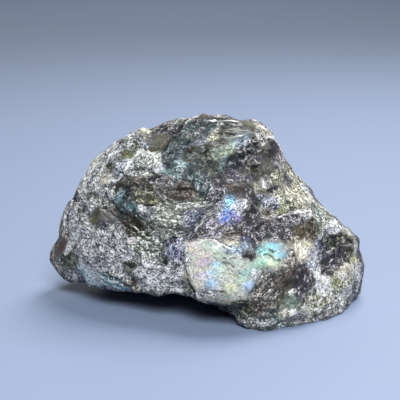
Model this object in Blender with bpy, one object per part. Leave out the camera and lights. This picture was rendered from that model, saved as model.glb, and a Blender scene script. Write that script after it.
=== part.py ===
"""Rough labradorite chunk: one broken piece of coarse-grained feldspar rock that rests on a flat fracture.

The chunk is laid out from the corners where its fracture faces meet. The corners are joined into a closed
cage, the cage is rounded, large forms are carved into it, and then every crystal grain gets its own facet.
Frame: +X along the chunk's length, +Y away from its front, +Z up, origin under the middle of its box.
Corners and forms are placed in millimetres in a layout frame with the same axes and the same ground, and the
finished chunk is then centred; everything else is in metres.
"""

import math

import bmesh
import bpy
import numpy as np
from mathutils import Vector, noise

MM = 0.001

# Driving dimensions: the box of the finished chunk.
LENGTH = 114.5 * MM
WIDTH = 73.5 * MM
HEIGHT = 67 * MM

# Corners of the fracture faces, by region. Each is (x, y, z) in millimetres.
LEFT_END = [(-58.5, 8, 12.5), (-54.4, 6, 21), (-52.5, 6, 28.5), (-48.5, 4, 36.5), (-57, 13, 8)]
CREST = [
    (-44.5, 2, 44), (-41.2, 1, 49.8), (-36.5, 0, 53.8), (-31.3, 0, 58), (-24.6, 0, 62.3), (-20.9, 0, 61.2),
    (-12.7, 0, 64.3), (-7.2, 0, 66.4), (0, 1, 66.7), (7.2, 1, 66), (14, 3, 64.6), (20, 5, 62.4),
]
RIGHT_END = [
    (23.8, 6, 58.4), (25.5, 6, 52.4), (30.2, 8, 46), (34.4, 8, 40.2), (40.2, 7, 32.3), (46.6, 7, 27.6),
    (50.4, 7, 23), (54, 6, 19.6), (56.5, 5, 13.5), (56, 4, 6), (54.6, 0, 0),
]
UPPER_FACE = [(-28, -9, 47), (-17, -9, 52), (-5, -10, 55), (4, -15, 49), (14, -9, 58), (19, -7, 54)]
HOLLOW = [(-27, -13, 41), (-17, -16, 38), (-5, -18, 40), (2, -20, 39)]
SHELF = [(-17, -21, 33), (-4, -24, 33.5), (4, -25, 35), (9.5, -25, 37)]
FRONT_LEFT = [
    (-43, -5, 32), (-44, -10, 20), (-35, -16, 22), (-26, -20, 26), (-20, -24, 16.5), (-12, -25.5, 19),
    (-35, -15, 12), (-20, -23, 8.5),
]
FLASH_SLAB = [
    (-6, -29, 16), (-1.5, -30.5, 20), (5, -31.5, 18), (13, -32.5, 13.5), (1, -32.5, 12.2), (9, -33, 8.6),
    (-6, -29, 10.8),
]
RIGHT_LOBE = [
    (18, -19, 35), (31, -13, 36), (42, -6, 32), (27, -8, 42.5), (22, -11, 45.5), (22, -29, 17),
    (31, -24, 19), (38, -17, 19), (47, -9, 22), (51, -4, 25), (53, -3, 14), (47, -13, 7), (34, -26.5, 4.5),
    (20, -33, 2.5), (14.5, -32, 1.5),
]
FRONT_RIM = [
    (-52.5, 3, 5.2), (-45, -2, 5.8), (-39.5, -8, 6.6), (-30, -15, 7.4), (-20, -21, 8.4), (-10, -26, 9.6),
    (-3, -30, 10.8), (3, -31, 10.2), (9, -31, 6.2),
]
UNDERSIDE = [(-42, 12, 7), (-28, 2, 6.5), (-14, -6, 7), (-3, -14, 7.5), (5, -18, 6.5)]
FOOT = [
    (10.5, -22, -2), (12.5, -31, -2), (19, -34, -2), (29, -29, -2), (37.5, -24, -2), (46, -17, -2),
    (51, -4, -2), (47, 10, -2), (38, 21, -2), (14, 30, -2), (-14, 28, -2), (-32, 24, -2), (-29, 17, -2),
    (-12, 8, -2), (5, -2, -2),
]
BACK = [
    (-50, 20, 25), (-41, 31, 12), (-42, 18, 44), (-25, 34, 36), (-21, 21, 57), (0, 38, 30), (3, 25, 58),
    (23, 34, 26), (20, 22, 50), (38, 27, 14), (41, 19, 30), (53, 16, 14), (-16, 36, 8), (15, 37, 8),
    (50, 14, 3), (-35, 14, 52),
]
CORNERS = (
    LEFT_END + CREST + RIGHT_END + UPPER_FACE + HOLLOW + SHELF + FRONT_LEFT + FLASH_SLAB + RIGHT_LOBE
    + FRONT_RIM + UNDERSIDE + FOOT + BACK
)
HEART = Vector((2, 1, 26)) * MM  # a point deep inside, which sees every corner

# Forms broken into the front. Outlines and paths are (x, z) in millimetres.
PLATES = {  # name: (how far it stands out, outline)
    "flash slab": (1.6, [
        (-8, 27), (-1.5, 30.5), (8.5, 29.5), (14, 25.5), (15.5, 20.5), (15, 15.5), (12, 9), (2, 9), (-5, 9),
        (-8, 18),
    ]),
    "turquoise face": (0.9, [(17, 23), (19, 26.5), (23, 27), (24.5, 23.5), (22, 20), (18, 20)]),
    "right hollow": (-2.4, [(37, 25), (42.5, 27.5), (49, 24), (49.5, 17), (44, 15), (38.5, 18.5)]),
    "brown hollow": (-1.5, [
        (-34, 42.5), (-27, 44.5), (-19, 43), (-6, 45), (0, 42), (-1, 39), (-16, 37), (-28, 39),
    ]),
    "dark pocket": (-1.4, [(13, 57.5), (19, 58), (21, 52), (17, 48.5), (11, 51)]),
    "top sheet": (1.0, [(-1, 58), (6, 62), (14, 61), (12, 56), (4, 52), (-2, 53)]),
}
GROOVES = {  # name: (width, depth, path)
    "long crevice": (1.8, 2.6, [(-37, 38.5), (-31, 35), (-26, 32.5), (-21.5, 30.5), (-17.5, 27)]),
    "slab crack": (1.2, 1.8, [(-8.5, 20), (-7, 16), (-5, 11)]),
    "crest groove": (1.6, 1.6, [(-14, 53), (-8.5, 58.5), (-4.5, 63)]),
    "low left ledge": (1.4, 1.6, [(-32, 17), (-28, 14.5), (-23, 12), (-18, 10.5)]),
    "slab foot": (1.6, 1.8, [(16.5, 19), (16, 13), (13.5, 7)]),
}
EDGE_WIDTH = 1.2 * MM  # how far a plate's broken edge runs
OUTLINE_WANDER = 1.2 * MM  # how far the forms' outlines wander, over lengths of OUTLINE_WANDER_SIZE
OUTLINE_WANDER_SIZE = 4 * MM

# Broken crystal grains: each has a facet tilted its own way, and some break into parallel treads.
GRAIN_SIZE = 12 * MM
GRAIN_WANDER = 2.0 * MM  # how far grain borders wander, over lengths of GRAIN_WANDER_SIZE
GRAIN_WANDER_SIZE = 6 * MM
FACETS = [(GRAIN_SIZE, 0.5 * MM), (5 * MM, 0.25 * MM)]  # (grain size, most lift)
FACET_SLOPE = 0.25
GRAIN_TILT = 0.9  # how far a grain's cleavage may lean away from straight out
TREADED_SHARE = 0.2
TREAD_STEP = 2.6 * MM
TREAD_UNEVENNESS = 0.5
RISER_SHARE = 0.3
MOST_TREAD_LIFT = 0.4 * MM
CRUMBLE_SIZE = 5 * MM
CRUMBLE_DEPTH = 0.25 * MM
OWN_VECTOR_STRIDE = 9.7  # strides that pick unrelated random cells for one grain's traits
TREADED_STRIDE = 3.1

FINE_STEP = 0.8 * MM  # mesh spacing while the forms are carved
ROUNDING_PASSES = 4
CUT_SNAP = 0.05 * MM  # points this near the base plane are put on it
TRIANGLES = 9000


def clear_scene():
    for obj in list(bpy.data.objects):
        bpy.data.objects.remove(obj)


def cage_of_corners():
    """A closed triangle mesh through the corners.

    Its faces join corners that are neighbours as seen from the heart, so hollows between corners stay hollow.
    """
    places = [Vector(corner) * MM for corner in CORNERS]
    mesh = bmesh.new()
    place_of = {}
    for place in places:
        vertex = mesh.verts.new((place - HEART).normalized())
        place_of[vertex] = place
    bmesh.ops.convex_hull(mesh, input=mesh.verts, use_existing_faces=False)
    for vertex, place in place_of.items():
        vertex.co = place
    return mesh


def add_object(name, mesh):
    data = bpy.data.meshes.new(name)
    mesh.to_mesh(data)
    mesh.free()
    obj = bpy.data.objects.new(name, data)
    bpy.context.scene.collection.objects.link(obj)
    return obj


def apply_modifiers(obj):
    graph = bpy.context.evaluated_depsgraph_get()
    data = bpy.data.meshes.new_from_object(obj.evaluated_get(graph))
    obj.modifiers.clear()
    obj.data = data


def round_off(obj):
    """Turns the cage into an even fine mesh with softened corners."""
    remesh = obj.modifiers.new("fine_mesh", "REMESH")
    remesh.mode = "VOXEL"
    remesh.voxel_size = FINE_STEP
    soften = obj.modifiers.new("soften", "SMOOTH")
    soften.factor = 0.5
    soften.iterations = ROUNDING_PASSES
    apply_modifiers(obj)


def places_and_normals(data):
    places = np.empty(len(data.vertices) * 3, np.float32)
    data.vertices.foreach_get("co", places)
    normals = np.empty(len(data.vertices) * 3, np.float32)
    data.vertex_normals.foreach_get("vector", normals)
    return places.reshape(-1, 3).astype(float), normals.reshape(-1, 3).astype(float)


def set_places(data, places):
    data.vertices.foreach_set("co", places.astype(np.float32).ravel())
    data.update()


def push_out(obj, lift_of):
    """Moves each point along its normal by lift_of(places, normals)."""
    places, normals = places_and_normals(obj.data)
    places += normals * lift_of(places, normals)[:, None]
    set_places(obj.data, places)


def smooth_step(low, high, values):
    share = np.clip((values - low) / (high - low), 0, 1)
    return share * share * (3 - 2 * share)


def noise_at(places, size, offset=0.0):
    """Smooth noise from -1 to 1, with lumps about as large as size."""
    shift = Vector((offset, offset, offset))
    return np.array([noise.noise(Vector(place) / size + shift) for place in places])


def distance_to_path(points, path):
    """Distance of (x, z) points to a line through the path's points."""
    nearest = np.full(len(points), np.inf)
    for start, end in zip(path[:-1], path[1:]):
        along = end - start
        share = np.clip((points - start) @ along / (along @ along), 0, 1)
        nearest = np.minimum(nearest, np.linalg.norm(points - start - share[:, None] * along, axis=1))
    return nearest


def inside_outline(points, outline):
    """True where a (x, z) point is inside the closed outline."""
    inside = np.zeros(len(points), bool)
    for (x0, z0), (x1, z1) in zip(outline, np.roll(outline, -1, axis=0)):
        spans = (z0 > points[:, 1]) != (z1 > points[:, 1])
        crossing = x0 + (points[:, 1] - z0) / np.where(spans, z1 - z0, 1) * (x1 - x0)
        inside ^= spans & (points[:, 0] < crossing)
    return inside


def forms_lift(places, normals):
    """Plates, hollows and grooves of the front."""
    facing_front = smooth_step(0.05, 0.3, -normals[:, 1])
    wander = np.stack([noise_at(places, OUTLINE_WANDER_SIZE, offset) for offset in (3, 7)], axis=1)
    points = places[:, [0, 2]] + wander * OUTLINE_WANDER
    lift = np.zeros(len(places))
    for height, outline in PLATES.values():
        corners = np.array(outline) * MM
        edge = distance_to_path(points, np.vstack([corners, corners[:1]]))
        depth_inside = np.where(inside_outline(points, corners), edge, -edge)
        lift += height * MM * smooth_step(-EDGE_WIDTH / 2, EDGE_WIDTH / 2, depth_inside)
    for width, depth, path in GROOVES.values():
        away = distance_to_path(points, np.array(path) * MM)
        lift -= depth * MM * smooth_step(-width * MM, 0, -away)
    return lift * facing_front


def grain_of(place, size):
    """The middle of the crystal grain that a place belongs to, and that grain's own random vector."""
    wandered = place + noise.noise_vector(place / GRAIN_WANDER_SIZE) * GRAIN_WANDER
    seed = noise.voronoi(wandered / size)[1][0]
    return seed * size, noise.cell_vector(seed * OWN_VECTOR_STRIDE) - Vector((0.5, 0.5, 0.5))


def facet_lift(places, normals):
    """Tilts the surface of each grain its own way, which leaves small ledges where grains meet."""
    lift = np.zeros(len(places))
    for size, most in FACETS:
        for index, place in enumerate(map(Vector, places)):
            middle, own = grain_of(place, size)
            lift[index] += min(max(own.dot(place - middle) * FACET_SLOPE, -most), most)
    return lift


def cleavage_lift(places, normals):
    """Breaks some grains into parallel treads, across a cleavage direction of their own."""
    lift = np.zeros(len(places))
    for index, (place, normal) in enumerate(zip(map(Vector, places), map(Vector, normals))):
        middle, own = grain_of(place, GRAIN_SIZE)
        if noise.cell(middle / GRAIN_SIZE * TREADED_STRIDE) > TREADED_SHARE:
            continue
        across = ((middle - HEART).normalized() + own * GRAIN_TILT).normalized()
        height = place.dot(across) / TREAD_STEP
        height += TREAD_UNEVENNESS * noise.noise(Vector((height * 0.7, own.x, own.y)))
        share = height - math.floor(height)
        tread = min(max((share - 0.5) / RISER_SHARE + 0.5, 0), 1)
        lift[index] = (tread - share) * TREAD_STEP / max(0.5, normal.dot(across))
    return np.clip(lift, -MOST_TREAD_LIFT, MOST_TREAD_LIFT)


def crumble_lift(places, normals):
    fine = noise_at(places, CRUMBLE_SIZE / 2.3, offset=5)
    return (noise_at(places, CRUMBLE_SIZE) + fine / 2) * CRUMBLE_DEPTH


def cut_flat_base(obj):
    """Cuts the chunk at z = 0, on the flat fracture that it rests on."""
    mesh = bmesh.new()
    mesh.from_mesh(obj.data)
    everything = [*mesh.verts, *mesh.edges, *mesh.faces]
    bmesh.ops.bisect_plane(
        mesh, geom=everything, dist=CUT_SNAP, plane_co=(0, 0, 0), plane_no=(0, 0, 1), use_snap_center=True,
        clear_inner=True,
    )
    rim = [edge for edge in mesh.edges if edge.is_boundary]
    bmesh.ops.triangle_fill(mesh, edges=rim, use_beauty=True, use_dissolve=False, normal=(0, 0, -1))
    bmesh.ops.recalc_face_normals(mesh, faces=mesh.faces)
    mesh.to_mesh(obj.data)
    mesh.free()


def thin_out(obj):
    """Brings the carved mesh down to broad flat facets."""
    decimate = obj.modifiers.new("facets", "DECIMATE")
    decimate.ratio = TRIANGLES / sum(len(face.vertices) - 2 for face in obj.data.polygons)
    decimate.use_collapse_triangulate = True
    apply_modifiers(obj)


def fit_to_box(obj):
    """Centres the chunk over the origin, resting on z = 0, at its driving dimensions."""
    places, _ = places_and_normals(obj.data)
    low, high = places.min(axis=0), places.max(axis=0)
    scale = np.array([LENGTH, WIDTH, HEIGHT]) / (high - low)
    under_middle = [(low[0] + high[0]) / 2, (low[1] + high[1]) / 2, low[2]]
    set_places(obj.data, (places - under_middle) * scale)


def stone_material():
    material = bpy.data.materials.new("labradorite")
    material.use_nodes = True
    shader = material.node_tree.nodes["Principled BSDF"]
    shader.inputs["Base Color"].default_value = (0.16, 0.17, 0.155, 1)
    shader.inputs["Roughness"].default_value = 0.42
    shader.inputs["Metallic"].default_value = 0.0
    return material


def main():
    clear_scene()
    obj = add_object("labradorite_chunk", cage_of_corners())
    round_off(obj)
    for lift_of in (forms_lift, facet_lift, cleavage_lift, crumble_lift):
        push_out(obj, lift_of)
    thin_out(obj)
    cut_flat_base(obj)
    fit_to_box(obj)
    obj.data.materials.append(stone_material())


main()
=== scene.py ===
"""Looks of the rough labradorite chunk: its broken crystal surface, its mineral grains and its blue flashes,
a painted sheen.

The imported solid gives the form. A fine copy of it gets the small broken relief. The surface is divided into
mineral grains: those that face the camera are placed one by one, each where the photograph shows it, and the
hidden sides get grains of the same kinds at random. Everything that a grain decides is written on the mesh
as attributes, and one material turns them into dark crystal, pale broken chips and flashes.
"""

import math
from dataclasses import dataclass, replace

import bmesh
import bpy
import numpy as np
from mathutils import Matrix, Vector, noise
from mathutils.bvhtree import BVHTree
from mathutils.kdtree import KDTree


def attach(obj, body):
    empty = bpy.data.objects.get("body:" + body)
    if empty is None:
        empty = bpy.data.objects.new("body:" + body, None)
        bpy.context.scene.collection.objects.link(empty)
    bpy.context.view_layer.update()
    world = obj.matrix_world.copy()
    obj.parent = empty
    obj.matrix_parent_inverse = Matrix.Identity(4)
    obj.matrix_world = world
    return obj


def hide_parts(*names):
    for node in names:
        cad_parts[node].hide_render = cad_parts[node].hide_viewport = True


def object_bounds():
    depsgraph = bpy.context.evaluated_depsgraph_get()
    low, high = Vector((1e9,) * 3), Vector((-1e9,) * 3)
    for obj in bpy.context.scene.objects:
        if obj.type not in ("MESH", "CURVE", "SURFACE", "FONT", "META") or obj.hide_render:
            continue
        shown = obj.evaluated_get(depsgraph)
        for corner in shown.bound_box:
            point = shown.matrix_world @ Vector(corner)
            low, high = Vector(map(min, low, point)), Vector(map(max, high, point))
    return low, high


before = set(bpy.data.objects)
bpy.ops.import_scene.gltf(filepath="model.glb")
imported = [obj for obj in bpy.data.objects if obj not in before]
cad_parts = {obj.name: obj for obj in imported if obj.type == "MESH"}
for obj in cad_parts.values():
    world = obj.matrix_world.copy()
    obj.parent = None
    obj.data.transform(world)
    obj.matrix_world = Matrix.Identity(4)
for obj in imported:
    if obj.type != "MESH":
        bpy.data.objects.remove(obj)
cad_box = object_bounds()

MM = 0.001
NODE = "labradorite_chunk"

# The camera. The photograph's frame is PHOTO_SIDE pixels wide and high.
PHOTO_SIDE = 400
LENS_MM = 99
SENSOR_MM = 36
CAMERA_PITCH = math.radians(13.8)
CAMERA_DISTANCE = 383 * MM
CAMERA_TARGET = Vector((-2.2, -2.1, 36.1)) * MM
FORWARD = Vector((0, math.cos(CAMERA_PITCH), -math.sin(CAMERA_PITCH)))
RIGHT = Vector((1, 0, 0))
UP = RIGHT.cross(FORWARD)
CAMERA_PLACE = CAMERA_TARGET - FORWARD * CAMERA_DISTANCE
FOCAL_PIXELS = LENS_MM / SENSOR_MM * PHOTO_SIDE

# The fine mesh and its relief.
SAME_CORNER = 0.001 * MM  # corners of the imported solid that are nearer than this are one
MESH_STEP = 0.42 * MM
SMOOTHING_PASSES = 50
LEAST_SMOOTHING = 0.25  # share of the smoothing that the whole stone gets
SMOOTH_RIM_TOP = (10 * MM, 34 * MM)  # the low rims get more, and all of it up to the first height
SMOOTH_RIM_LEFT = (2 * MM, 14 * MM)  # where it grows, by the distance from the middle
SMOOTH_RIM_RIGHT = (38 * MM, 50 * MM)
CHIPS = ((3.4, 0.13), (1.8, 0.13), (1, 0.09))  # (size, greatest height) in millimetres, in a common grain
CHIP_TILT = 1.6  # how steep their facets are
TILT_KEY, TONE_KEY = 57.3, 91.7  # turn a chip's middle into its random tilt and tone
SWELLS = (0.9, 0.08)  # the same for the soft unevenness under the chips
RELIEF_SINK = 0.15  # millimetres that the whole relief is let in
BASE_FADE = (0.2 * MM, 2 * MM)  # the relief fades in between these heights: the resting face is flat
UNDERSIDE_LOSS = 0.6  # share of the relief that the faces looking down lose
MOST_TRIANGLES = 190000
SHARP_ANGLE = math.radians(24)
LINE_STEP = 1  # pixels of the photograph between the points of a crack
LINE_CORE = 0.3  # share of a crack's width at which it is still as deep as in its middle

# How far borders wander from their smooth course: (length, reach) of the waves, in millimetres.
GRAIN_WANDER = (4, 1.2)
FINE_GRAIN_WANDER = (1.3, 0.9)
LINE_WANDER = (1.6, 0.7)
PAINTED_SHEEN_WANDER = (1.5, 0.7)

# The material. The scales count cells or waves per millimetre, across a grain with chips of size 1.
GRIT_SCALE = 2.1
PATCH_SCALE = 0.4
FACET_SCALE = 0.95
FLECK_SCALE = 3.2
SUGAR_SCALE = 2.2  # in every direction of every grain
BREAK_SCALE = 0.6
PALE_FROM = (0.92, 1.07)  # sums of the patterns between which dark crystal turns into pale chips
TINTS = (  # of dark crystal, each with the random value from which it is used
    (0.35, (1.08, 1.08, 0.72)),  # olive
    (0.5, (0.8, 1.03, 1.12)),  # teal
    (0.65, (1.12, 0.96, 0.8)),  # brown
    (0.78, (1.0, 0.92, 1.12)),  # lilac
    (0.9, (1, 1, 1)),  # none
)
# Painted shade for the gap between facets, and pale broken stone with a painted highlight for their rims.
GAP_SHADE_COLOUR = (0.006, 0.006, 0.008, 1)
RIM_PALE_AND_HIGHLIGHT_COLOUR = (0.8, 0.8, 0.78, 1)
# The named edges' pale stone, with a painted highlight.
EDGE_PALE_AND_HIGHLIGHT_COLOUR = (0.85, 0.85, 0.82, 1)
BRIGHTEST_STONE = 0.78  # no broken crystal reflects more than this share of the light
BUMP_HEIGHT = 0.22 * MM

# The studio, in metres.
FLOOR_COLOUR = (117, 131, 157)
FLOOR_HALF_WIDTH = 2
LIGHTS = {  # place, size, power in watts and the place that it shines at
    "back_key": ((0.22, 0.32, 0.72), 0.42, 9.2, (0, 0, 0)),
    "front_fill": ((0.08, -0.63, 0.6), 0.4, 10.8, (0, 0, 0)),
    "far_floor_fill": ((0, 1.8, 0.8), 1.6, 11, (0, 1.8, 0)),
}
ROOM_COLOUR = (0.86, 0.9, 1, 1)
ROOM_LIGHT = 0.06


def srgb(red, green, blue):
    """Linear colour of an sRGB colour given from 0 to 255."""
    return tuple(((part / 255 + 0.055) / 1.055) ** 2.4 for part in (red, green, blue))


@dataclass
class Look:
    """How one kind of grain looks."""
    dark: tuple  # sRGB of the crystal itself
    # The pale chips are partly pale stone and partly a painted highlight, where cleavage faces would catch
    # the light.
    pale: tuple  # sRGB of its broken chips
    cover: float  # share of its surface that the pale chips take
    relief: float = 1.0  # how deep its broken relief is
    stretch: float = 2.1  # how long its chips are for their width
    web: float = 0.8  # how strongly its chips' edges and tiny crystals stand out
    chip: float = 1.0  # how large its chips are


LOOKS = {
    "speckled": Look((51, 53, 56), (212, 214, 219), 0.52, chip=0.8),
    "dark speckled": Look((35, 33, 40), (190, 185, 196), 0.4, chip=0.9),
    "brown speckled": Look((46, 40, 35), (192, 185, 177), 0.42, chip=0.9),
    "brown": Look((49, 44, 38), (140, 130, 118), 0.34, web=0.45),
    "red brown": Look((54, 42, 39), (140, 120, 110), 0.34, web=0.5),
    "ochre": Look((66, 56, 38), (156, 142, 114), 0.38, web=0.6),
    "smooth brown": Look((76, 66, 63), (122, 109, 101), 0.3, 0.2, 3, 0.2),
    "teal": Look((44, 62, 65), (177, 198, 202), 0.42, 1, 2),
    "dark teal": Look((30, 44, 48), (124, 150, 154), 0.34, 1, 1.8, 0.6),
    "pale cyan": Look((99, 125, 130), (220, 239, 243), 0.62, 0.7, chip=0.8),
    "olive": Look((51, 51, 37), (165, 163, 132), 0.36),
    "dark olive": Look((35, 39, 30), (128, 132, 107), 0.32, web=0.6),
    "yellow olive": Look((84, 86, 56), (172, 172, 132), 0.42, 0.5, 1.6, 0.4),
    "smooth olive": Look((66, 66, 57), (115, 115, 101), 0.36, 0.4, 1.8, 0.2),
    "purple black": Look((30, 27, 37), (175, 169, 183), 0.32),
    "black": Look((14, 13, 22), (176, 172, 194), 0.22, 1, 1.3, 0.9, 1.3),
    "blue black": Look((30, 33, 48), (163, 167, 190), 0.38),
    "green grey": Look((70, 79, 74), (206, 212, 202), 0.54, 0.8, 2),
    "smooth green grey": Look((93, 106, 95), (171, 185, 169), 0.5, 0.35, 3, 0.4, 0.8),
    "smooth blue grey": Look((80, 97, 110), (173, 194, 210), 0.48, 0.35, 3, 0.5, 0.8),
    "smooth grey": Look((95, 95, 93), (150, 150, 146), 0.44, 0.35, 1.6, 0.25),
    "pale yellow": Look((95, 95, 77), (220, 218, 194), 0.58, 0.8),
    "pale grey": Look((88, 88, 87), (220, 220, 217), 0.6, chip=0.8),
    "pale blue": Look((88, 95, 107), (212, 220, 235), 0.58, chip=0.8),
    "lilac grey": Look((79, 76, 86), (198, 192, 208), 0.48, chip=0.8),
    "cream": Look((152, 146, 129), (235, 231, 214), 0.6, 0.6, web=0.5, chip=0.7),
    "white": Look((152, 152, 152), (244, 244, 244), 0.74, 0.7, web=0.6, chip=0.8),
    "streaked": Look((77, 83, 77), (210, 214, 206), 0.52, 0.8, 4, chip=0.8),
    "strata": Look((65, 70, 63), (194, 200, 187), 0.48, 1, 5, chip=0.8),
    "slab": Look((150, 155, 146), (212, 215, 206), 0.6, 0.2, 3.2, 0.2, 0.5),
    "slab cream": Look((168, 162, 144), (226, 222, 206), 0.6, 0.2, 2.6, 0.3, 0.5),
}
BRIGHTEST_PART = 250  # of an sRGB colour
STEP_GAIN = 0.2  # share by which one step brightens a look's colours
STEP_COVER = 0.25  # share of the surface that one step adds to a look's pale chips


def grain_tone_and_painted_light(look, steps=0):
    """A look that is brighter by so many steps, or darker where they are negative; steps also paint light and
    shade.
    """
    dark, pale = (
        tuple(min(BRIGHTEST_PART, part * (1 + STEP_GAIN * steps)) for part in colour)
        for colour in (look.dark, look.pale)
    )
    return replace(look, dark=dark, pale=pale, cover=look.cover + STEP_COVER * steps)
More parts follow.
